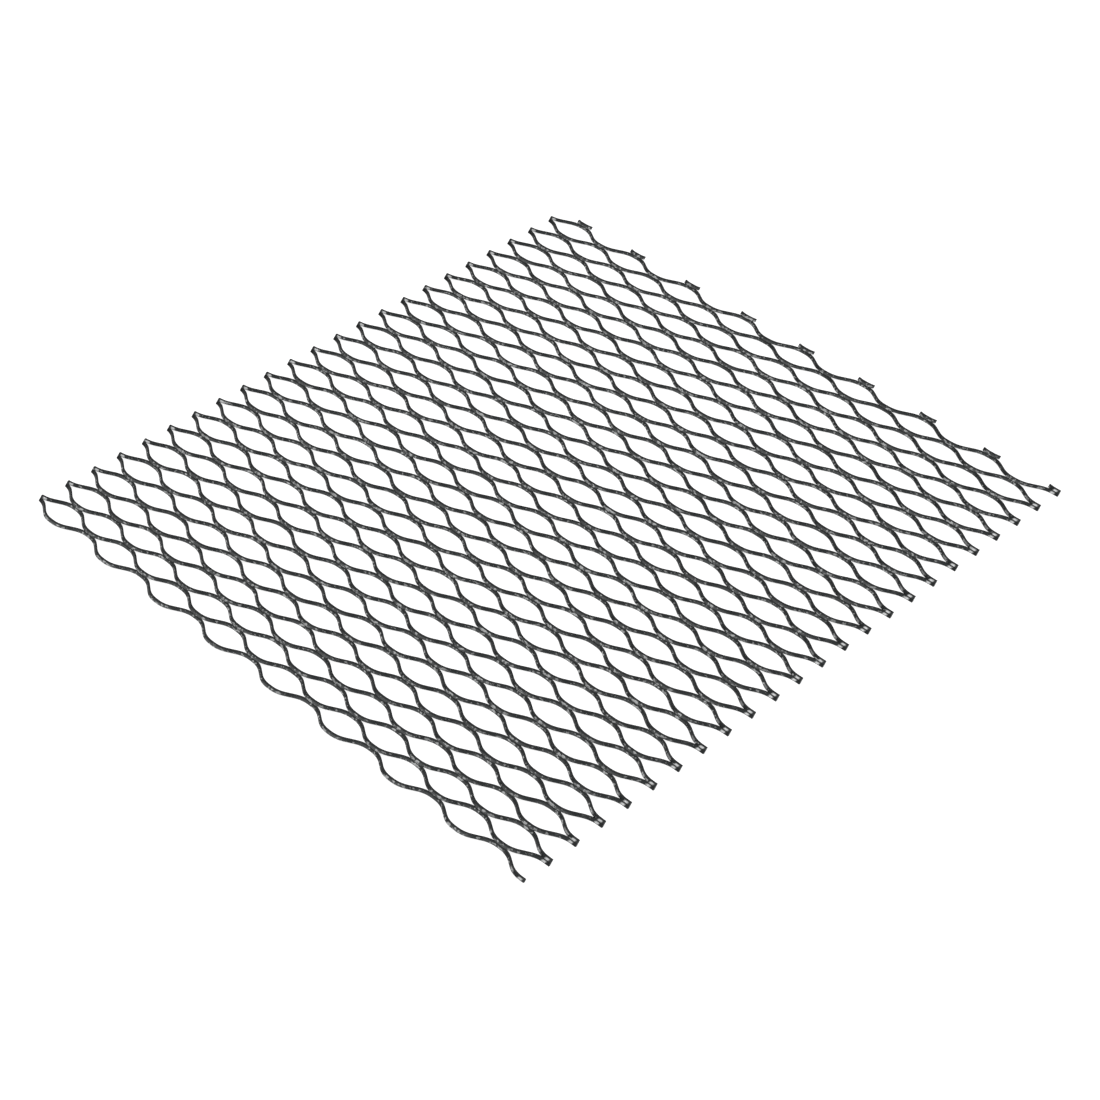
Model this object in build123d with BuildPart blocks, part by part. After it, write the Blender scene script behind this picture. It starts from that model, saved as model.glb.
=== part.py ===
"""Sheet of raised expanded steel: wavy strands that meet at their bonds and leave diamond openings.

Frame: X runs along the long way of the diamonds and Y along the short way. +Z is up, and the
origin is at the bottom centre of the sheet. All lengths are in millimetres.

A strand is the strip of steel between two slits. Half of its bonds lie against the strand before
it and half against the strand after it, face to face. Each whole strand is a node of its own.
"""
from build123d import *
from math import asin, atan2, cos, degrees, hypot, radians, sin, sqrt
import os

# Driving dimensions
LONG_PITCH = 65.4         # bond to bond along X, in one row of diamonds
SHORT_PITCH = 25.4        # bond to bond along Y, in one column of diamonds
STRAND_WIDTH = 2.6        # from slit to slit, measured on the face of the steel
STEEL_THICKNESS = 1.2
BOND_TILT = 48.5          # degrees that the face of a bond leans out of the sheet
BOND_LENGTH = 3.0         # straight stretch of a strand at a bond
SLOPE_LENGTH = 7.2        # straight stretch of a strand's middle line between two bends
STRANDS = 46
HALF_PITCHES = 17         # from the first column of cut bonds to the last
LEFT_TRIM = 3.1           # how far inside the middle of its bonds the left edge is cut
RIGHT_TRIM = 3.1          # how far outside the middle of its bonds the right edge is cut
STUB_LENGTH = 16.5        # of each bond piece that the last slit leaves on the far edge

HALF_PITCH = LONG_PITCH / 2
ROW_PITCH = SHORT_PITCH / 2
ALONG = Vector(1, 0, 0)

# A strand is a band in its slit plane, which holds ALONG and SLIT_UP, pushed out along WIDTH_WAY.
# The band's middle line swings between two rows of bonds that lie RISE apart.
WIDTH_WAY = Vector(0, cos(radians(BOND_TILT)), sin(radians(BOND_TILT)))
SLIT_STEP = Vector(0, ROW_PITCH, 0) - WIDTH_WAY * STRAND_WIDTH
SLIT_UP = SLIT_STEP.normalized()
RISE = SLIT_STEP.length
BAND = STEEL_THICKNESS / WIDTH_WAY.cross(ALONG).dot(SLIT_UP)

# From bond to bond the middle line is a bend, the inner tangent of two bends, and a bend back.
# The radius is the one that leaves the tangent its length.
BEND_ACROSS = HALF_PITCH - BOND_LENGTH
BEND_RADIUS = (BEND_ACROSS**2 + RISE**2 - SLOPE_LENGTH**2) / (4 * RISE)
BEND_UP = RISE - 2 * BEND_RADIUS
SLOPE = degrees(atan2(BEND_UP, BEND_ACROSS) + asin(2 * BEND_RADIUS / hypot(BEND_ACROSS, BEND_UP)))

# A bond piece left on the far edge is longer than its bond, so its ends follow the bends up.
STUB_BEND = BEND_RADIUS - BAND / 2
STUB_ENDS = max(STUB_LENGTH - BOND_LENGTH, 0) / 2
STUB_RISE = STUB_BEND - sqrt(STUB_BEND**2 - STUB_ENDS**2)

# The whole sheet, and where its first slit starts
SHEET_LENGTH = HALF_PITCHES * HALF_PITCH - LEFT_TRIM + RIGHT_TRIM
SHEET_WIDTH = STRANDS * ROW_PITCH + STRAND_WIDTH * WIDTH_WAY.Y + (BAND + STUB_RISE) * SLIT_UP.Y
FIRST_BOND_X = -SHEET_LENGTH / 2 - LEFT_TRIM
FIRST_SLIT_Y = -SHEET_WIDTH / 2 + BAND * SLIT_UP.Y / 2
SLIT_Z = STRAND_WIDTH * WIDTH_WAY.Z - BAND * SLIT_UP.Z / 2


def slit_plane(number):
    """The plane of the slit in front of a strand, with its origin at the first bond."""
    origin = (FIRST_BOND_X, FIRST_SLIT_Y + (number - 1) * ROW_PITCH, SLIT_Z)
    return Plane(origin=origin, x_dir=ALONG, z_dir=ALONG.cross(SLIT_UP))


def is_low(number, bond):
    """True where a strand lies on the strand before it, and False where on the one after it."""
    return (number + bond) % 2 == 0


def draw_middle_line(number):
    """Draw a strand's middle line from its first bond to one slope past its last."""
    start = Vector(0, 0 if is_low(number, 0) else RISE)
    flat_length = BOND_LENGTH / 2
    for bond in range(HALF_PITCHES + 1):
        turn = SLOPE if is_low(number, bond) else -SLOPE
        flat = Line(start, start + Vector(flat_length, 0))
        bend = JernArc(flat @ 1, flat % 1, BEND_RADIUS, turn)
        tangent = Line(bend @ 1, bend @ 1 + (bend % 1) * SLOPE_LENGTH)
        bend_back = JernArc(tangent @ 1, tangent % 1, BEND_RADIUS, -turn)
        start = bend_back @ 1
        flat_length = BOND_LENGTH


def full_band(number):
    """The band of a strand in its slit plane, cut off square at both edges of the sheet."""
    with BuildSketch() as band:
        with BuildLine():
            draw_middle_line(number)
            offset(amount=BAND / 2, side=Side.BOTH)
        make_face()
        with Locations((LEFT_TRIM, RISE / 2)):
            Rectangle(SHEET_LENGTH, 2 * RISE, align=(Align.MIN, Align.CENTER), mode=Mode.INTERSECT)
    return band.sketch


os.makedirs("parts", exist_ok=True)

# Odd strands share one shape and even strands the other, half a long pitch along.
bands = [full_band(0), full_band(1)]

for number in range(1, STRANDS + 1):
    with BuildPart() as strand:
        with BuildSketch(slit_plane(number)):
            add(bands[number % 2])
        extrude(amount=STRAND_WIDTH, dir=WIDTH_WAY)
    strand.part.label = f"strand_{number:02d}"
    export_step(strand.part, f"parts/{strand.part.label}.step")

# The strand after the last slit was sheared away, and only its low bonds are left on the sheet.
stub_strand = STRANDS + 1
stub_bonds = [bond for bond in range(HALF_PITCHES + 1) if is_low(stub_strand, bond)]
with BuildPart() as edge_stubs:
    with BuildSketch(slit_plane(stub_strand)):
        add(bands[stub_strand % 2])
        with Locations(*[(bond * HALF_PITCH, 0) for bond in stub_bonds]):
            Rectangle(STUB_LENGTH, RISE, mode=Mode.INTERSECT)
    extrude(amount=STRAND_WIDTH, dir=WIDTH_WAY)
edge_stubs.part.label = "edge_stubs"
export_step(edge_stubs.part, "parts/edge_stubs.step")

print(f"sheet {SHEET_LENGTH:.1f} x {SHEET_WIDTH:.1f} mm")
print(f"strands bend to {BEND_RADIUS:.1f} mm and slope {SLOPE:.1f} degrees")
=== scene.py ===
"""Sheet of raised expanded steel: strands with rolled faces and sheared edges, on a studio stage."""
import math

import bmesh
import bpy
from mathutils import Matrix, Vector


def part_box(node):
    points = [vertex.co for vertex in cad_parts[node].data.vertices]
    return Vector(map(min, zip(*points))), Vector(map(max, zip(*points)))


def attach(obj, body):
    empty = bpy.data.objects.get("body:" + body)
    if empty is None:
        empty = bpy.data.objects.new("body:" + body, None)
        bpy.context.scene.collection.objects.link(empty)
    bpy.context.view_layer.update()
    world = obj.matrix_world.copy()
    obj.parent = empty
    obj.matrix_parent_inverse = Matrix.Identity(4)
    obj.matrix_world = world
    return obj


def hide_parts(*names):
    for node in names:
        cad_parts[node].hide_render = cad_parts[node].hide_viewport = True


bl_info = {
    "name": "Raised expanded steel sheet",
    "version": (1, 0, 0),
    "blender": (4, 5, 0),
    "location": "3D View > Sidebar > Expanded Steel",
    "description": "Models the strands of an expanded steel sheet and a stage to show it on",
    "category": "Object",
}

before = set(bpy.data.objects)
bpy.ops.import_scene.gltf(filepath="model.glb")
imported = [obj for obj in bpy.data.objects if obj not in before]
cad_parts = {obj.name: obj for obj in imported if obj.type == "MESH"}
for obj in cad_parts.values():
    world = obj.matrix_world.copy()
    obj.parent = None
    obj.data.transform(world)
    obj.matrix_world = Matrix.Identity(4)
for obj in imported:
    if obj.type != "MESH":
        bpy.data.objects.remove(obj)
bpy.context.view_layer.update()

MM = 0.001
BODY = "root"

# The sheet as the frame has it
STRAND_NODES = sorted(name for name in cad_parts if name.startswith("strand_"))
STUB_NODE = "edge_stubs"
FIRST_LOW, FIRST_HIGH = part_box(STRAND_NODES[0])
SECOND_LOW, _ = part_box(STRAND_NODES[1])
LAST_LOW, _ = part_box(STRAND_NODES[-1])
ROW_PITCH = SECOND_LOW.y - FIRST_LOW.y
SHEET_LEFT = FIRST_LOW.x
SHEET_RIGHT = FIRST_HIGH.x
SLIT_Z = (FIRST_LOW.z + FIRST_HIGH.z) / 2

# Parts of a strand's surface, as material slots of its mesh
ROLLED, SHEARED, CUT = range(3)

# Vertices nearer than this are one, and a piece may miss its CAD node's box by the slack
MERGE = 1e-6
SLACK = 0.3 * MM

# How nearly a normal lies along an axis where a face is on a cut edge or in a slit
SQUARE = 0.99

# An edge is rounded where it is sharper than the first, and shaded smooth below the second
SHARP = math.radians(40)
SMOOTH = math.radians(30)

# What the vertices of a strand carry: how far through the steel they are, from 0 where the
# slitting tool goes in to 1 where it comes out, how far across the strand, from 0 at its front
# slit to 1 at its back one, and 1 where the strand rises from a low bond to a high one
ATTRIBUTES = ("through", "across", "rising")
HALFWAY = 0.5


# ---------------------------------------------------------------- settings


class ExpandedSteelSizes(bpy.types.PropertyGroup):
    """Sizes of the steel between two slits."""

    half_pitches: bpy.props.IntProperty(
        name="Half pitches",
        description="Half diamonds along the sheet, from the first cut bonds to the last",
        default=17,
        min=2,
    )
    left_trim: bpy.props.FloatProperty(
        name="Left trim",
        description="How far inside the middle of its bonds the left edge is cut",
        default=3.1 * MM,
        unit="LENGTH",
    )
    right_trim: bpy.props.FloatProperty(
        name="Right trim",
        description="How far outside the middle of its bonds the right edge is cut",
        default=3.1 * MM,
        unit="LENGTH",
    )
    strand_width: bpy.props.FloatProperty(
        name="Strand width",
        description="Width of a strand from slit to slit, on the rolled face",
        default=2.6 * MM,
        unit="LENGTH",
    )
    thickness: bpy.props.FloatProperty(
        name="Steel thickness",
        description="Thickness of the steel before it is stretched",
        default=1.2 * MM,
        unit="LENGTH",
    )
    bond_tilt: bpy.props.FloatProperty(
        name="Bond tilt",
        description="Angle that the rolled face of a bond leans out of the sheet",
        default=math.radians(48.5),
        unit="ROTATION",
    )
    bond_length: bpy.props.FloatProperty(
        name="Bond length",
        description="Straight stretch of a strand at a bond",
        default=3.0 * MM,
        unit="LENGTH",
    )
    slope_length: bpy.props.FloatProperty(
        name="Slope length",
        description="Straight stretch of a strand between two bends",
        default=7.2 * MM,
        unit="LENGTH",
    )
    bend_steps: bpy.props.IntProperty(
        name="Bend steps",
        description="Facets along each bend",
        default=7,
        min=2,
    )
    stub_length: bpy.props.FloatProperty(
        name="Stub length",
        description="Length of each bond piece left on the far edge",
        default=16.5 * MM,
        unit="LENGTH",
    )
    shoulder: bpy.props.FloatProperty(
        name="Rolled shoulder",
        description="Rounding of the edges where the slitting tool enters the steel",
        default=0.22 * MM,
        unit="LENGTH",
    )
    burr: bpy.props.FloatProperty(
        name="Burr edge",
        description="Rounding of the edges where the slitting tool leaves the steel",
        default=0.07 * MM,
        unit="LENGTH",
    )


class ExpandedSteelFinish(bpy.types.PropertyGroup):
    """Colours of the uncoated steel."""

    scale_dark: bpy.props.FloatVectorProperty(
        name="Dark scale",
        description="Darkest colour of the mill scale on the rolled faces",
        subtype="COLOR",
        default=(0.020, 0.023, 0.024),
    )
    scale_light: bpy.props.FloatVectorProperty(
        name="Light scale",
        description="Lightest colour of the mill scale on the rolled faces",
        subtype="COLOR",
        default=(0.058, 0.064, 0.066),
    )
    # Painted shade: the dark colour behind the left cut, where a strand doesn't rise
    painted_shade_colour: bpy.props.FloatVectorProperty(
        name="Burnt scale",
        description="Colour of the darkest scale, on the stretch behind the left cut",
        subtype="COLOR",
        default=(0.007, 0.008, 0.008),
    )
    # Also the colour of the painted highlight over the bonds
    rubbed: bpy.props.FloatVectorProperty(
        name="Rubbed steel",
        description="Colour of the steel where handling has rubbed the scale off",
        subtype="COLOR",
        default=(0.50, 0.51, 0.51),
    )
    # Painted highlight: the colour of the bright spots beside the cut edges
    painted_highlight: bpy.props.FloatVectorProperty(
        name="Cleaned steel",
        description="Colour of the bright spots beside the cut edges",
        subtype="COLOR",
        default=(0.82, 0.83, 0.83),
    )
    burnished: bpy.props.FloatVectorProperty(
        name="Burnished shear",
        description="Colour of the smooth band that the slitting tool leaves",
        subtype="COLOR",
        default=(0.070, 0.075, 0.077),
    )
    # Also the colour of the painted shade along each slit
    torn: bpy.props.FloatVectorProperty(
        name="Torn shear",
        description="Colour of the rough band where the steel breaks away, and beside each slit",
        subtype="COLOR",
        default=(0.018, 0.020, 0.020),
    )


class ExpandedSteelStage(bpy.types.PropertyGroup):
    """The floor, the lights and the camera."""

    floor_colour: bpy.props.FloatVectorProperty(
        name="Floor",
        description="Colour of the floor",
        subtype="COLOR",
        default=(0.86, 0.86, 0.86),
    )
    camera_turn: bpy.props.FloatProperty(
        name="Camera turn",
        description="Direction that the camera looks in, turned from +Y towards -X",
        default=math.radians(45.457),
        unit="ROTATION",
    )
    camera_rise: bpy.props.FloatProperty(
        name="Camera rise",
        description="Angle of the camera above the sheet",
        default=math.radians(40.538),
        unit="ROTATION",
    )
    camera_distance: bpy.props.FloatProperty(
        name="Camera distance",
        description="Distance of the camera from the point it looks at",
        default=2.0613,
        unit="LENGTH",
    )
    camera_aim: bpy.props.FloatVectorProperty(
        name="Camera aim",
        description="Point in the middle of the sheet's plane that the camera looks at",
        subtype="TRANSLATION",
        default=(0.04633, -0.04108, 0.00195),
    )
    lens: bpy.props.FloatProperty(
        name="Lens",
        description="Focal length in millimetres on a 36 mm sensor",
        default=88.245,
    )
    floor_size: bpy.props.FloatProperty(
        name="Floor size",
        description="Length of each side of the floor",
        default=40.0,
        unit="LENGTH",
    )
    floor_glow: bpy.props.FloatProperty(
        name="Floor glow",
        description="Light that the floor gives from within, as a light table does",
        default=0.9,
    )
    room_light: bpy.props.FloatProperty(
        name="Room light",
        description="Brightness of the pale room all round",
        default=0.35,
    )
    overhead_power: bpy.props.FloatProperty(
        name="Overhead light",
        description="Power of the large softbox overhead",
        default=15.0,
        unit="POWER",
    )
    side_power: bpy.props.FloatProperty(
        name="Side light",
        description="Power of the softbox that the bonds shine in",
        default=5.0,
        unit="POWER",
    )


# ---------------------------------------------------------------- shader maths


class Value:
    """A number that varies over a surface. Arithmetic on it adds Math nodes."""

    def __init__(self, shading, socket):
        self.shading = shading
        self.socket = socket

    def math(self, operation, *operands):
        return self.shading.node("ShaderNodeMath", {"operation": operation}, dict(enumerate(operands)))

    def __add__(self, other):
        return self.math("ADD", self, other)

    def __radd__(self, other):
        return self.math("ADD", other, self)

    def __sub__(self, other):
        return self.math("SUBTRACT", self, other)

    def __rsub__(self, other):
        return self.math("SUBTRACT", other, self)

    def __mul__(self, other):
        return self.math("MULTIPLY", self, other)

    def __rmul__(self, other):
        return self.math("MULTIPLY", other, self)

    def __truediv__(self, other):
        return self.math("DIVIDE", self, other)

    def __rtruediv__(self, other):
        return self.math("DIVIDE", other, self)

    def least(self, other):
        return self.math("MINIMUM", self, other)

    def most(self, other):
        return self.math("MAXIMUM", self, other)

    def size(self):
        return self.math("ABSOLUTE", self)

    def off_whole(self):
        """Distance from the nearest whole number, from 0 to a half."""
        return self.math("PINGPONG", self, 0.5)

    def fade(self, ends, start=0):
        """0 at the first end and 1 at the second, each measured from start, eased between them."""
        none, full = (start + end for end in ends)
        reach = {"Value": self, "From Min": min(none, full), "From Max": max(none, full)}
        settings = {"interpolation_type": "SMOOTHSTEP", "clamp": True}
        eased = self.shading.node("ShaderNodeMapRange", settings, reach)
        return eased if none < full else 1 - eased


class Shading:
    """The nodes of one material, or of the world."""

    def __init__(self, owner):
        owner.use_nodes = True
        self.owner = owner
        self.nodes = owner.node_tree.nodes
        self.links = owner.node_tree.links
        self.nodes.clear()

    def node(self, kind, settings=None, inputs=None, output=0):
        """Add a node, give it its settings, then values or links, and return one of its outputs."""
        made = self.nodes.new(kind)
        for key, setting in (settings or {}).items():
            setattr(made, key, setting)
        for key, given in (inputs or {}).items():
            if isinstance(given, Value):
                self.links.new(given.socket, made.inputs[key])
            else:
                made.inputs[key].default_value = given
        return None if output is None else Value(self, made.outputs[output])

    def output(self, shader, kind="ShaderNodeOutputMaterial"):
        """Join the finished shader to the output of the material or the world."""
        self.node(kind, inputs={"Surface": shader}, output=None)


class Finish(Shading):
    """The nodes of one material, laid out by place on the sheet."""

    # A Mix node's sockets for colours share their names with others, so they go by number
    MIX_SHARE, MIX_LOW, MIX_HIGH = 0, 6, 7
    MIXED_COLOUR = 2

    def __init__(self, name):
        super().__init__(bpy.data.materials.new(name))
        self.spot = self.node("ShaderNodeTexCoord", output="Object")

    def attribute(self, name):
        return self.node("ShaderNodeAttribute", {"attribute_name": name}, output="Fac")

    def place(self, axis):
        """Distance from the sheet's middle along an axis."""
        return self.node("ShaderNodeSeparateXYZ", inputs={0: self.spot}, output=axis)

    def noise(self, grain, detail, stretch=(1, 1, 1)):
        """Noise with marks about one grain across, drawn out by stretch."""
        scale = [1 / (grain * share) for share in stretch]
        spot = self.node("ShaderNodeMapping", inputs={"Vector": self.spot, "Scale": scale})
        return self.node("ShaderNodeTexNoise", inputs={"Vector": spot, "Scale": 1.0, "Detail": detail})

    def mix(self, share, low, high):
        """A colour from low to high by share."""
        low, high = (c if isinstance(c, Value) else (*c, 1.0) for c in (low, high))
        settings = {"data_type": "RGBA", "clamp_factor": True}
        inputs = {self.MIX_SHARE: share, self.MIX_LOW: low, self.MIX_HIGH: high}
        return self.node("ShaderNodeMix", settings, inputs, output=self.MIXED_COLOUR)

    def steel(self, surface, height, depth):
        """Join a surface of uncoated steel, bumped to a depth, to the material's output."""
        bumps = {"Strength": 1.0, "Distance": depth, "Height": height}
        relief = self.node("ShaderNodeBump", inputs=bumps)
        whole = {**surface, "Specular IOR Level": STEEL_SPECULAR, "Normal": relief}
        self.output(self.node("ShaderNodeBsdfPrincipled", inputs=whole))


# ---------------------------------------------------------------- finishes


# Noise over the steel: the size of its marks, its detail, and how it is drawn out
MOTTLE = {"grain": 9 * MM, "detail": 2.0}
FLAKES = {"grain": 2 * MM, "detail": 3.0, "stretch": (1.5, 1, 1)}
ROLLING = {"grain": 0.4 * MM, "detail": 2.0, "stretch": (14, 1, 1)}
PITTING = {"grain": 0.2 * MM, "detail": 2.0}
SCORING = {"grain": 0.18 * MM, "detail": 2.0, "stretch": (1, 9, 9)}
TEARING = {"grain": 0.3 * MM, "detail": 5.0}
NOISE_MEAN = 0.5

# Where the marks on the rolled face lie. A pair is a fade: the mark is gone at the first place
# and full at the second. These are from a slit, a bond's middle, and the last strand's front
SLIT_SHADE = (0.2 * MM, 0.5 * MM)
BOND_REACH = (8.6 * MM, 5 * MM)
LAST_ROWS = (-5 * MM, 0)

# Across a strand, from its front slit at 0 to its back slit at 1
FRONT_HALF = (1.0, 0.5)
BACK_PART = (0.2, 0.6)
OFF_FRONT_SLIT = (-0.1, 0.3)

# Along the sheet, from the middle of the bonds that the left edge cuts through: where the bonds' marks
# stop, the painted shade, and a painted highlight. A width is from the middle of its own mark, and a
# height from the floor
LEFT_WEAR_AND_HIGHLIGHT = (20 * MM, 26 * MM)
LEFT_PAINTED_SHADE = (17 * MM, 13 * MM)
LEFT_HIGHLIGHT = 7.8 * MM
LEFT_HIGHLIGHT_LEAN = 1 * MM
LEFT_HIGHLIGHT_WIDTH = (2.5 * MM, 0.9 * MM)
LEFT_HIGHLIGHT_HEIGHT = (1.9 * MM, 2.3 * MM)
LEFT_HIGHLIGHT_SHARE = 0.8

# The same from the bonds that the right edge cuts through. Beyond the painted highlight the flakes
# stop, and a painted streak of highlight lies behind it
RIGHT_WEAR_AND_HIGHLIGHT = (-9 * MM, -14 * MM)
RIGHT_HIGHLIGHT = -3.1 * MM
RIGHT_HIGHLIGHT_LEAN = 0.74
RIGHT_HIGHLIGHT_WIDTH = (2.6 * MM, 0.8 * MM)
RIGHT_UNFLAKED = (1.8 * MM, 2.6 * MM)
HIGHLIGHT_STREAK = -11 * MM
HIGHLIGHT_STREAK_WIDTH = (3.2 * MM, 1.6 * MM)
HIGHLIGHT_STREAK_HEIGHT = (2.2 * MM, 2.6 * MM)
HIGHLIGHT_STREAK_SHARE = 0.42

# Wear and painted highlight on the bonds: their strength at their foot, the height from which they are
# full, how much nearer a bond counts where the strand rises, and how much the back of the last rows
# lacks
LOW_WEAR_AND_HIGHLIGHT = 0.6
HIGH_BOND = (1.9 * MM, 2.2 * MM)
RISING_NEARER = 0.45
LAST_ROWS_LACK = 0.6

# What helps or hinders the scale to flake off, and the noise at which it does
WEAR_AND_HIGHLIGHT_HELPS = 0.075
MOTTLE_HELPS = 0.15
RISING_HINDERS = 0.02
PAINTED_SHADE_HINDERS = 0.2
FLAKED = (0.57, 0.64)

# How light the scale is, with painted light where a strand rises, and the share of each mark's colour
# that shows, painted shade and highlights among them
MOTTLE_LIGHT = 0.5
ROLLING_LIGHT = 0.5
LEVEL_LIGHT = 0.2
RISING_PAINTED_LIGHT = 1.1
PAINTED_SHADE_SHARE = 0.9
THINNED_AND_HIGHLIGHTED_SHARE = 0.17
PAINTED_HIGHLIGHT_SHARE = 0.9
SLIT_SHARE = 0.8

# Gloss and relief of the rolled face, and the reflection that all of the steel keeps
STEEL_SPECULAR = 0.18
FLAKED_BARE = 0.8
SCALE_METAL = 0.05
BARE_METAL = 0.8
SCALE_ROUGH = 0.45
BARE_SMOOTHS = 0.12
ROLLING_ROUGH = 0.2
PITTING_RELIEF = 0.4
ROLLING_RELIEF = 0.6
ROLLED_DEPTH = 0.02 * MM

# The sheared face: how far through the steel it tears, then its colour, gloss and relief
TORN = (0.35, 0.55)
SCORING_SHIFT = 0.5
TORN_COLOUR = 0.8
TEARING_COLOUR = 0.2
BURNISHED_METAL = 0.3
TORN_DULLS = 0.2
BURNISHED_ROUGH = 0.36
TORN_ROUGH = 0.26
TEARING_ROUGH = 0.1
SCORING_RELIEF = 0.4
SHEARED_DEPTH = 0.06 * MM


class RolledFace(Finish):
    """Mill scale with rolling marks, flaked off in spots and most of all on the bonds, with painted
    light, shade and highlights.
    """

    def __init__(self, name, sizes, colours):
        super().__init__(name)
        self.first_bond = SHEET_LEFT - sizes.left_trim
        self.last_bond = SHEET_RIGHT - sizes.right_trim
        self.half_pitch = (self.last_bond - self.first_bond) / sizes.half_pitches
        self.along = self.place("X")
        self.height = self.place("Z")
        self.across = self.attribute("across")
        self.rising = self.attribute("rising")
        self.mottle = self.noise(**MOTTLE)
        self.rolling = self.noise(**ROLLING)
        bond = self.wear_and_highlight_on_bonds()
        clear = self.clear_of_slits(bond, sizes.strand_width)
        # Painted shade: the scale is darker behind the left cut where a strand doesn't rise
        painted_shade = self.along.fade(LEFT_PAINTED_SHADE, self.first_bond) * (1 - self.rising)
        last_rows = self.place("Y").fade(LAST_ROWS, LAST_LOW.y)
        # Wear and painted highlight over the bonds, less at the back of the last rows
        bond_wear_and_highlight = bond * (1 - last_rows * self.across.fade(BACK_PART) * LAST_ROWS_LACK)
        right = self.along - self.height * RIGHT_HIGHLIGHT_LEAN - (self.last_bond + RIGHT_HIGHLIGHT)
        # Painted highlights beside the cut edges and a painted streak behind the right ones
        painted_highlight = self.painted_highlight(right, clear)
        flaked = self.flaked(bond_wear_and_highlight, painted_shade, clear) * (1 - right.fade(RIGHT_UNFLAKED))
        # Painted light: the scale is lighter where a strand rises, facing the light
        scale = self.mix(self.lightness(), colours.scale_dark, colours.scale_light)
        scale = self.mix(painted_shade * PAINTED_SHADE_SHARE, scale, colours.painted_shade_colour)
        # Painted highlight: a smooth lightening of the scale over the bonds
        thinned_and_highlighted = self.mix(bond_wear_and_highlight * THINNED_AND_HIGHLIGHTED_SHARE, scale, colours.rubbed)
        worn_and_highlighted = self.mix(flaked, thinned_and_highlighted, colours.rubbed)
        # Painted highlight beside the cut edges, in near white
        colour = self.mix(painted_highlight * PAINTED_HIGHLIGHT_SHARE, worn_and_highlighted, colours.painted_highlight)
        # Painted shade: a dark line along each slit, in the torn shear's colour
        colour = self.mix((1 - clear) * SLIT_SHARE, colour, colours.torn)
        self.finish_steel(colour, (flaked * FLAKED_BARE + painted_highlight).least(1.0))

    def wear_and_highlight_on_bonds(self):
        """How much handling wears the scale, and how much painted highlight lightens it: over each
        bond, but not near the cut edges.
        """
        from_bond = ((self.along - self.first_bond) / self.half_pitch).off_whole() * self.half_pitch
        from_bond = from_bond * (1 - self.rising * RISING_NEARER)
        inside = self.along.fade(RIGHT_WEAR_AND_HIGHLIGHT, self.last_bond)
        inside = inside * self.along.fade(LEFT_WEAR_AND_HIGHLIGHT, self.first_bond)
        wear_and_highlight_by_height = LOW_WEAR_AND_HIGHLIGHT + self.height.fade(HIGH_BOND) * (1 - LOW_WEAR_AND_HIGHLIGHT)
        return from_bond.fade(BOND_REACH) * self.across.fade(FRONT_HALF) * inside * wear_and_highlight_by_height

    def clear_of_slits(self, bond, width):
        """0 in the painted shade along each slit, which a bond keeps only at its back."""
        from_slit = self.across.least(1 - self.across) * width
        from_back = (1 - self.across) * width
        return (from_slit.fade(SLIT_SHADE) + bond).least(1.0) * from_back.fade(SLIT_SHADE)

    def flaked(self, bond_wear_and_highlight, painted_shade, clear):
        """Spots where the scale has come off."""
        spots = self.noise(**FLAKES) + bond_wear_and_highlight * WEAR_AND_HIGHLIGHT_HELPS - self.rising * RISING_HINDERS
        spots = spots - painted_shade * PAINTED_SHADE_HINDERS + (self.mottle - NOISE_MEAN) * MOTTLE_HELPS
        return spots.fade(FLAKED) * clear

    def painted_highlight(self, right, clear):
        """Painted highlights beside the cut edges, and a painted streak of highlight behind the right
        ones.
        """
        right_highlight = right.size().fade(RIGHT_HIGHLIGHT_WIDTH) * self.across.fade(FRONT_HALF)
        right_highlight = right_highlight * self.across.fade(OFF_FRONT_SLIT)
        left = self.along + self.across * LEFT_HIGHLIGHT_LEAN - (self.first_bond + LEFT_HIGHLIGHT)
        left_highlight = left.size().fade(LEFT_HIGHLIGHT_WIDTH) * clear
        left_highlight = left_highlight * self.height.fade(LEFT_HIGHLIGHT_HEIGHT) * LEFT_HIGHLIGHT_SHARE
        streak = (self.along - (self.last_bond + HIGHLIGHT_STREAK)).size().fade(HIGHLIGHT_STREAK_WIDTH)
        streak = streak * self.height.fade(HIGHLIGHT_STREAK_HEIGHT) * HIGHLIGHT_STREAK_SHARE
        return (right_highlight + left_highlight + streak).least(1.0)

    def lightness(self):
        """How light the scale is: mottled and rolled, and lighter where a strand rises, which is
        painted light.
        """
        marks = self.mottle * MOTTLE_LIGHT + self.rolling * ROLLING_LIGHT
        return marks * (LEVEL_LIGHT + self.rising * RISING_PAINTED_LIGHT)

    def finish_steel(self, colour, bare):
        """Join the colour, and the gloss and relief that go with how bare the steel is, the painted
        highlights counted as bare.
        """
        metallic = bare * BARE_METAL + SCALE_METAL
        roughness = SCALE_ROUGH - bare * BARE_SMOOTHS + (self.rolling - NOISE_MEAN) * ROLLING_ROUGH
        surface = {"Base Color": colour, "Metallic": metallic, "Roughness": roughness}
        relief = self.noise(**PITTING) * PITTING_RELIEF + self.rolling * ROLLING_RELIEF
        self.steel(surface, relief, ROLLED_DEPTH)


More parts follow.
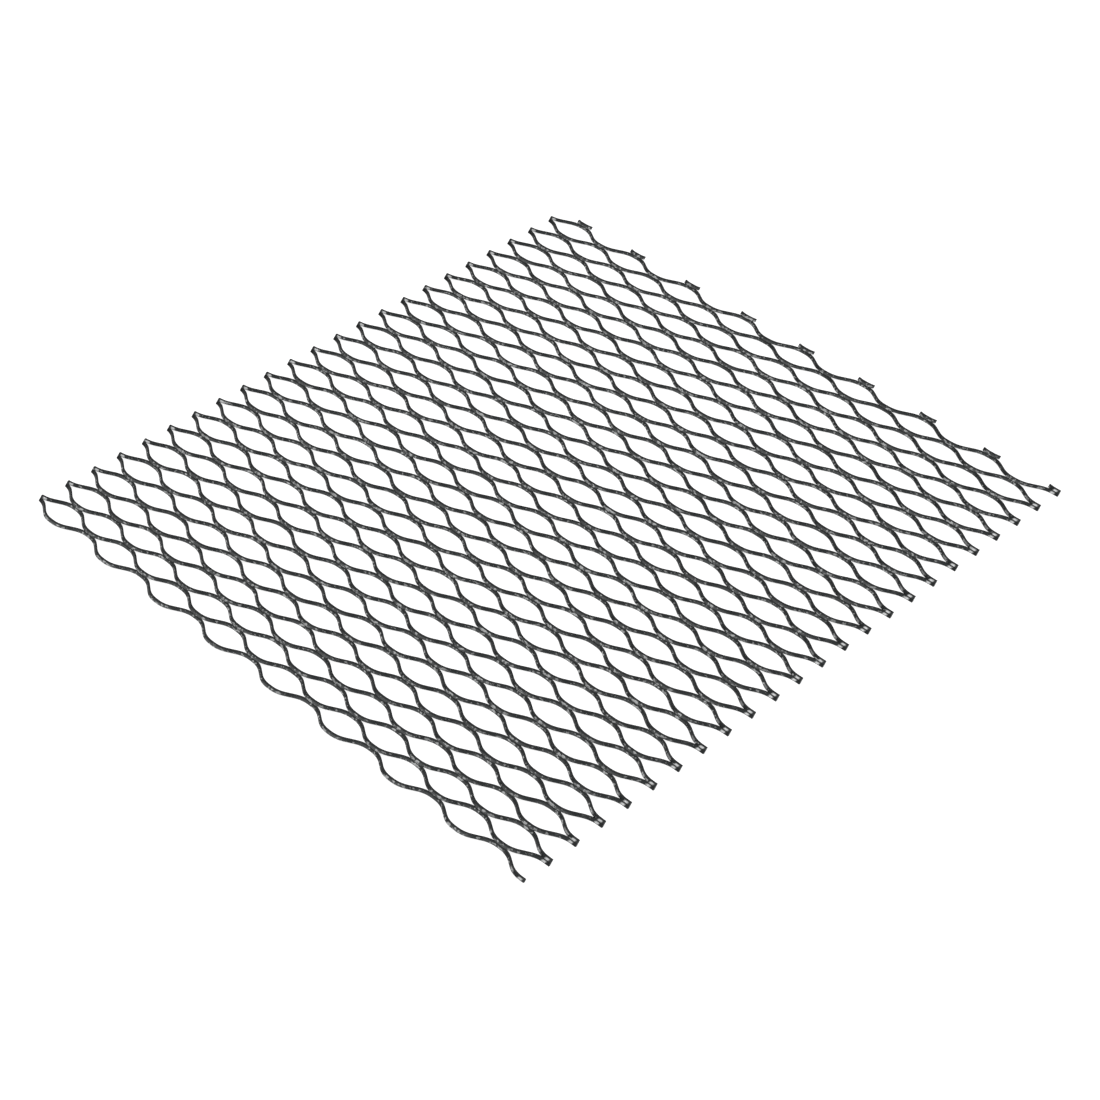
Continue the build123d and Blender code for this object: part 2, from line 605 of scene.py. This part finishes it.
class ShearedFace(Finish):
    """A smooth burnished band where the tool went in, and a rough torn one where it came out."""

    def __init__(self, name, colours):
        super().__init__(name)
        scoring = self.noise(**SCORING)
        tearing = self.noise(**TEARING)
        through = self.attribute("through") + (scoring - NOISE_MEAN) * SCORING_SHIFT
        torn = through.fade(TORN)
        share = torn * TORN_COLOUR + tearing * TEARING_COLOUR
        colour = self.mix(share, colours.burnished, colours.torn)
        metallic = BURNISHED_METAL - torn * TORN_DULLS
        roughness = BURNISHED_ROUGH + torn * TORN_ROUGH + (tearing - NOISE_MEAN) * TEARING_ROUGH
        surface = {"Base Color": colour, "Metallic": metallic, "Roughness": roughness}
        relief = scoring * (1 - torn) * SCORING_RELIEF + tearing * torn
        self.steel(surface, relief, SHEARED_DEPTH)


# ---------------------------------------------------------------- modelling


class Strand:
    """The shape that every strand shares, in its slit plane: X along the sheet, Y up the slit."""

    def __init__(self, sizes):
        self.sizes = sizes
        tilt = sizes.bond_tilt
        width_way = Vector((0, math.cos(tilt), math.sin(tilt)))
        slit_up = Vector((0, ROW_PITCH, 0)) - width_way * sizes.strand_width
        # From a low bond to a high one up the slit, and how far the slit leans from lying flat
        self.rise = slit_up.length
        slit_up.normalize()
        self.lean = math.atan2(slit_up.z, slit_up.y)
        # The steel's thickness as the slit plane cuts it, and the way from slit to slit
        self.band = sizes.thickness / width_way.cross(Vector((1, 0, 0))).dot(slit_up)
        self.push = Matrix.Rotation(-self.lean, 3, "X") @ width_way * sizes.strand_width
        length = SHEET_RIGHT - SHEET_LEFT
        self.half_pitch = (length + sizes.left_trim - sizes.right_trim) / sizes.half_pitches
        self.left_cut = sizes.left_trim
        self.right_cut = sizes.left_trim + length
        self.first_slit_y = FIRST_LOW.y + self.band * slit_up.y / 2
        # The radius of the bends and the angle of the straight slope between them
        across = self.half_pitch - sizes.bond_length
        self.radius = (across**2 + self.rise**2 - sizes.slope_length**2) / (4 * self.rise)
        up = self.rise - 2 * self.radius
        self.slope = math.atan2(up, across) + math.asin(2 * self.radius / math.hypot(across, up))

    def place(self, number):
        """Where a strand's first bond lies in the sheet."""
        y = self.first_slit_y + (number - 1) * ROW_PITCH
        return Vector((SHEET_LEFT - self.left_cut, y, SLIT_Z))


def edit(piece):
    """Open a piece's mesh for editing, with nothing selected."""
    bpy.ops.object.select_all(action="DESELECT")
    piece.select_set(True)
    bpy.context.view_layer.objects.active = piece
    bpy.ops.object.mode_set(mode="EDIT")
    bpy.ops.mesh.select_mode(type="EDGE")
    bpy.ops.mesh.select_all(action="DESELECT")


def leave_edit():
    """Close the mesh that is open for editing."""
    bpy.ops.object.mode_set(mode="OBJECT")


def select_edges(piece, test):
    """Select only the edges of an open mesh that pass a test."""
    bpy.ops.mesh.select_all(action="DESELECT")
    mesh = bmesh.from_edit_mesh(piece.data)
    for edge in mesh.edges:
        if test(edge):
            edge.select_set(True)
    bmesh.update_edit_mesh(piece.data)


def mark(piece, name, test):
    """Set a number to 1 on the vertices of an open mesh that pass a test."""
    mesh = bmesh.from_edit_mesh(piece.data)
    layer = mesh.verts.layers.float[name]
    for vertex in mesh.verts:
        if test(vertex):
            vertex[layer] = 1.0
    bmesh.update_edit_mesh(piece.data)


def apply_modifier(piece, kind, **settings):
    """Finish a piece with a modifier and apply it."""
    modifier = piece.modifiers.new(kind.title(), kind)
    for key, setting in settings.items():
        setattr(modifier, key, setting)
    bpy.context.view_layer.objects.active = piece
    bpy.ops.object.modifier_apply(modifier=modifier.name)


def move_all(way):
    """Move the whole of the open mesh."""
    bpy.ops.mesh.select_all(action="SELECT")
    bpy.ops.transform.translate(value=way)


def half_bond_face(name, half_bond, band):
    """Start a flat band with the right half of a low bond."""
    bpy.ops.object.select_all(action="DESELECT")
    bpy.ops.mesh.primitive_plane_add(size=1, location=(half_bond / 2, 0, 0))
    piece = bpy.context.object
    piece.name = piece.data.name = name
    piece.scale = (half_bond, band, 1)
    bpy.ops.object.transform_apply(location=True, rotation=True, scale=True)
    for attribute in ATTRIBUTES:
        piece.data.attributes.new(attribute, "FLOAT", "POINT")
    return piece


def draw_up(piece, strand, half_bond):
    """Draw the open band on from its half bond: a bend, a slope, a bend and a high half bond."""
    sizes = strand.sizes
    select_edges(piece, lambda edge: all(v.co.x > half_bond - MERGE for v in edge.verts))
    bend = {"steps": sizes.bend_steps, "axis": (0, 0, 1)}
    bpy.ops.mesh.spin(angle=-strand.slope, center=(half_bond, strand.radius, 0), **bend)
    run = Vector((math.cos(strand.slope), math.sin(strand.slope), 0)) * sizes.slope_length
    bpy.ops.mesh.extrude_region_move(TRANSFORM_OT_translate={"value": run})
    crown = (strand.half_pitch - half_bond, strand.rise - strand.radius, 0)
    bpy.ops.mesh.spin(angle=strand.slope, center=crown, **bend)
    bpy.ops.mesh.extrude_region_move(TRANSFORM_OT_translate={"value": (half_bond, 0, 0)})


def flat_pitch(name, strand):
    """One pitch of the flat band, from a low bond up to a high one and down to the next low one."""
    half_bond = strand.sizes.bond_length / 2
    piece = half_bond_face(name, half_bond, strand.band)
    edit(piece)
    mark(piece, "through", lambda vertex: vertex.co.y > 0)
    draw_up(piece, strand, half_bond)
    bpy.ops.mesh.select_all(action="SELECT")
    bpy.ops.mesh.duplicate()
    bpy.ops.transform.resize(value=(-1, 1, 1), center_override=(strand.half_pitch, 0, 0))
    bpy.ops.mesh.select_all(action="SELECT")
    bpy.ops.mesh.remove_doubles(threshold=MERGE)
    bpy.ops.mesh.normals_make_consistent(inside=False)
    mark(piece, "rising", lambda vertex: MERGE < vertex.co.x < strand.half_pitch - MERGE)
    leave_edit()
    return piece


def repeat(piece, count, pitch, joined):
    """Repeat the flat band along the sheet, joined end to end or left apart."""
    way = {"use_relative_offset": False, "use_constant_offset": True}
    merge = {"use_merge_vertices": joined, "merge_threshold": MERGE}
    apply_modifier(piece, "ARRAY", count=count, constant_offset_displace=(pitch, 0, 0), **way, **merge)


def cut_square(left, right):
    """Shear the open mesh square at two places along the sheet."""
    for place, way in ((left, -1), (right, 1)):
        bpy.ops.mesh.select_all(action="SELECT")
        bpy.ops.mesh.bisect(plane_co=(place, 0, 0), plane_no=(way, 0, 0), clear_outer=True)


def surface_of(normal):
    """Which surface of the steel a face is on, by its normal while the slits lie flat."""
    if abs(normal.x) > SQUARE:
        return CUT
    if abs(normal.z) > SQUARE:
        return SHEARED
    return ROLLED


def sort_faces(piece):
    """Give each face of the open solid its material slot."""
    mesh = bmesh.from_edit_mesh(piece.data)
    for face in mesh.faces:
        face.material_index = surface_of(face.normal)
    bmesh.update_edit_mesh(piece.data)


def is_corner(edge, through, is_entered):
    """Whether an edge runs along the strand, on the side where the tool went in or came out."""
    if not edge.is_manifold or edge.calc_face_angle() < SHARP:
        return False
    if any(surface_of(face.normal) == CUT for face in edge.link_faces):
        return False
    return all((vertex[through] < HALFWAY) == is_entered for vertex in edge.verts)


def round_corners(piece, radius, segments, is_entered):
    """Round the long edges of the open solid where the tool went in, or where it came out."""
    through = bmesh.from_edit_mesh(piece.data).verts.layers.float["through"]
    select_edges(piece, lambda edge: is_corner(edge, through, is_entered))
    bpy.ops.mesh.bevel(offset=radius, segments=segments, clamp_overlap=True)


def make_steel(piece, strand):
    """Turn the flat band into cut and rounded steel that leans as it does in the sheet."""
    sizes = strand.sizes
    edit(piece)
    cut_square(strand.left_cut, strand.right_cut)
    bpy.ops.mesh.select_all(action="SELECT")
    bpy.ops.mesh.extrude_region_move(TRANSFORM_OT_translate={"value": strand.push})
    mark(piece, "across", lambda vertex: vertex.select)
    bpy.ops.mesh.select_all(action="SELECT")
    bpy.ops.mesh.normals_make_consistent(inside=False)
    for _ in (ROLLED, SHEARED, CUT):
        piece.data.materials.append(None)
    sort_faces(piece)
    round_corners(piece, sizes.shoulder, segments=2, is_entered=True)
    round_corners(piece, sizes.burr, segments=1, is_entered=False)
    bpy.ops.mesh.select_all(action="SELECT")
    bpy.ops.transform.rotate(value=-strand.lean, orient_axis="X", center_override=(0, 0, 0))
    leave_edit()
    bpy.ops.object.shade_smooth_by_angle(angle=SMOOTH)


def lay(piece, strand, number):
    """Move a strand from its slit plane at the origin to its place in the sheet."""
    piece.location = strand.place(number)
    bpy.ops.object.select_all(action="DESELECT")
    piece.select_set(True)
    bpy.context.view_layer.objects.active = piece
    bpy.ops.object.transform_apply(location=True, rotation=True, scale=True)


def dress(piece, scene, node):
    """Give a finished piece its materials and its body, and hide the CAD node that it stands for."""
    for index, finish in enumerate(steel_finishes(scene)):
        piece.data.materials[index] = finish
    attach(piece, BODY)
    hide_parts(node)


def check_fit(piece, node):
    """Raise an error where a piece doesn't fill its CAD node's box."""
    low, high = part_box(node)
    for axis in range(3):
        reach = [vertex.co[axis] for vertex in piece.data.vertices]
        ends = (min(reach), max(reach))
        if abs(ends[0] - low[axis]) > SLACK or abs(ends[1] - high[axis]) > SLACK:
            raise RuntimeError(f"{piece.name} doesn't fill {node} on axis {axis}: {ends}")


def steel_finishes(scene):
    """The finishes of a strand, in the order of its material slots."""
    names = ("mill_scale_rolled", "slit_sheared", "edge_cut")
    if names[ROLLED] not in bpy.data.materials:
        RolledFace(names[ROLLED], scene.steel_sizes, scene.steel_finish)
        ShearedFace(names[SHEARED], scene.steel_finish)
        ShearedFace(names[CUT], scene.steel_finish)
    return [bpy.data.materials[name] for name in names]


class ModelStrands(bpy.types.Operator):
    """Model the two strand shapes and lay copies of them side by side as the whole strands"""

    bl_idname = "expanded_steel.strands"
    bl_label = "Model Strands"

    def execute(self, context):
        strand = Strand(context.scene.steel_sizes)
        pitch = 2 * strand.half_pitch
        shapes = []
        for name, start in (("even_strand", 0), ("odd_strand", -strand.half_pitch)):
            shape = flat_pitch(name, strand)
            repeat(shape, math.ceil(strand.right_cut / pitch) + 1, pitch, joined=True)
            edit(shape)
            move_all((start, 0, 0))
            leave_edit()
            make_steel(shape, strand)
            shapes.append(shape)
        for node in STRAND_NODES:
            number = int(node.split("_")[1])
            piece = shapes[number % 2].copy()
            piece.data = piece.data.copy()
            piece.name = piece.data.name = f"steel_{node}"
            context.scene.collection.objects.link(piece)
            lay(piece, strand, number)
            dress(piece, context.scene, node)
            check_fit(piece, node)
        for shape in shapes:
            bpy.data.objects.remove(shape)
        return {"FINISHED"}


class ModelStubs(bpy.types.Operator):
    """Model the bond pieces that the last slit leaves on the far edge"""

    bl_idname = "expanded_steel.stubs"
    bl_label = "Model Edge Stubs"

    def execute(self, context):
        sizes = context.scene.steel_sizes
        strand = Strand(sizes)
        pitch = 2 * strand.half_pitch
        piece = flat_pitch("steel_edge_stubs", strand)
        repeat(piece, 2, -pitch, joined=True)
        edit(piece)
        cut_square(-sizes.stub_length / 2, sizes.stub_length / 2)
        move_all((strand.half_pitch, 0, 0))
        leave_edit()
        repeat(piece, math.ceil(sizes.half_pitches / 2), pitch, joined=False)
        make_steel(piece, strand)
        lay(piece, strand, len(STRAND_NODES) + 1)
        dress(piece, context.scene, STUB_NODE)
        check_fit(piece, STUB_NODE)
        return {"FINISHED"}


# ---------------------------------------------------------------- stage


# The softboxes are placed and sized in metres, and the camera's sensor in millimetres
OVERHEAD_PLACE = (0.2, 0.3, 2.6)
OVERHEAD_SIZE = 2.4
SIDE_PLACE = (-0.90, -1.86, 1.20)
SIDE_SIZE = 1.3
SENSOR_WIDTH = 36
CLIP_START = 0.01
CLIP_END = 100

# The floor is matt paper
PAPER_SPECULAR = 0.0
PAPER_ROUGH = 0.9


def lay_floor(stage):
    """Lay the square of pale paper, lit from within, that the sheet lies on."""
    bpy.ops.object.select_all(action="DESELECT")
    bpy.ops.mesh.primitive_plane_add(size=stage.floor_size, location=(0, 0, 0))
    floor = bpy.context.object
    floor.name = floor.data.name = "floor"
    finish = Finish("pale_floor")
    colour = (*stage.floor_colour, 1)
    paper = {"Base Color": colour, "Roughness": PAPER_ROUGH, "Specular IOR Level": PAPER_SPECULAR}
    glow = {"Emission Color": colour, "Emission Strength": stage.floor_glow}
    finish.output(finish.node("ShaderNodeBsdfPrincipled", inputs={**paper, **glow}))
    floor.data.materials.append(finish.owner)


def light_room(scene, stage):
    """Light the room evenly, and make it white where the camera sees past the floor."""
    room = Shading(bpy.data.worlds.new("pale_studio"))
    seen = room.node("ShaderNodeLightPath", output="Is Camera Ray")
    pale = {"Color": (1, 1, 1, 1), "Strength": seen.most(stage.room_light)}
    room.output(room.node("ShaderNodeBackground", inputs=pale), "ShaderNodeOutputWorld")
    scene.world = room.owner


def add_softbox(name, place, size, power):
    """Hang a square light, facing the middle of the sheet."""
    bpy.ops.object.light_add(type="AREA", location=place)
    lamp = bpy.context.object
    lamp.name = lamp.data.name = name
    lamp.rotation_mode = "QUATERNION"
    lamp.rotation_quaternion = (-Vector(place)).to_track_quat("-Z", "Y")
    lamp.data.shape = "SQUARE"
    lamp.data.size = size
    lamp.data.energy = power


def set_camera(scene, stage):
    """Set the camera back from the point it looks at."""
    turn = stage.camera_turn
    level = math.cos(stage.camera_rise)
    rise = math.sin(stage.camera_rise)
    back = Vector((math.sin(turn) * level, -math.cos(turn) * level, rise))
    bpy.ops.object.camera_add(location=Vector(stage.camera_aim) + back * stage.camera_distance)
    camera = bpy.context.object
    camera.name = camera.data.name = "camera"
    camera.rotation_mode = "QUATERNION"
    camera.rotation_quaternion = (-back).to_track_quat("-Z", "Y")
    camera.data.sensor_width = SENSOR_WIDTH
    camera.data.lens = stage.lens
    camera.data.clip_start = CLIP_START
    camera.data.clip_end = CLIP_END
    scene.camera = camera
    scene.view_settings.view_transform = "Standard"


class BuildStage(bpy.types.Operator):
    """Lay the floor, hang the lights and set up the camera"""

    bl_idname = "expanded_steel.stage"
    bl_label = "Build Stage"

    def execute(self, context):
        stage = context.scene.steel_stage
        lay_floor(stage)
        light_room(context.scene, stage)
        add_softbox("overhead_softbox", OVERHEAD_PLACE, OVERHEAD_SIZE, stage.overhead_power)
        add_softbox("bond_softbox", SIDE_PLACE, SIDE_SIZE, stage.side_power)
        set_camera(context.scene, stage)
        return {"FINISHED"}


# ---------------------------------------------------------------- add-on


class ExpandedSteelPanel(bpy.types.Panel):
    """Sizes, colours and steps of the expanded steel sheet"""

    bl_idname = "VIEW3D_PT_expanded_steel"
    bl_label = "Expanded Steel"
    bl_space_type = "VIEW_3D"
    bl_region_type = "UI"
    bl_category = "Expanded Steel"

    def draw(self, context):
        for group in SETTINGS:
            box = self.layout.box()
            settings = getattr(context.scene, group)
            for name in settings.__annotations__:
                box.prop(settings, name)
        for operator in OPERATORS:
            self.layout.operator(operator.bl_idname)


SETTINGS = {
    "steel_sizes": ExpandedSteelSizes,
    "steel_finish": ExpandedSteelFinish,
    "steel_stage": ExpandedSteelStage,
}
OPERATORS = (ModelStrands, ModelStubs, BuildStage)
CLASSES = (*SETTINGS.values(), *OPERATORS, ExpandedSteelPanel)


def register():
    for made in CLASSES:
        bpy.utils.register_class(made)
    for name, group in SETTINGS.items():
        setattr(bpy.types.Scene, name, bpy.props.PointerProperty(type=group))


def unregister():
    for name in SETTINGS:
        delattr(bpy.types.Scene, name)
    for made in reversed(CLASSES):
        bpy.utils.unregister_class(made)


def main():
    """Make the strands, the stubs and the stage."""
    register()
    bpy.ops.expanded_steel.strands()
    bpy.ops.expanded_steel.stubs()
    bpy.ops.expanded_steel.stage()


if __name__ == "__main__":
    main()
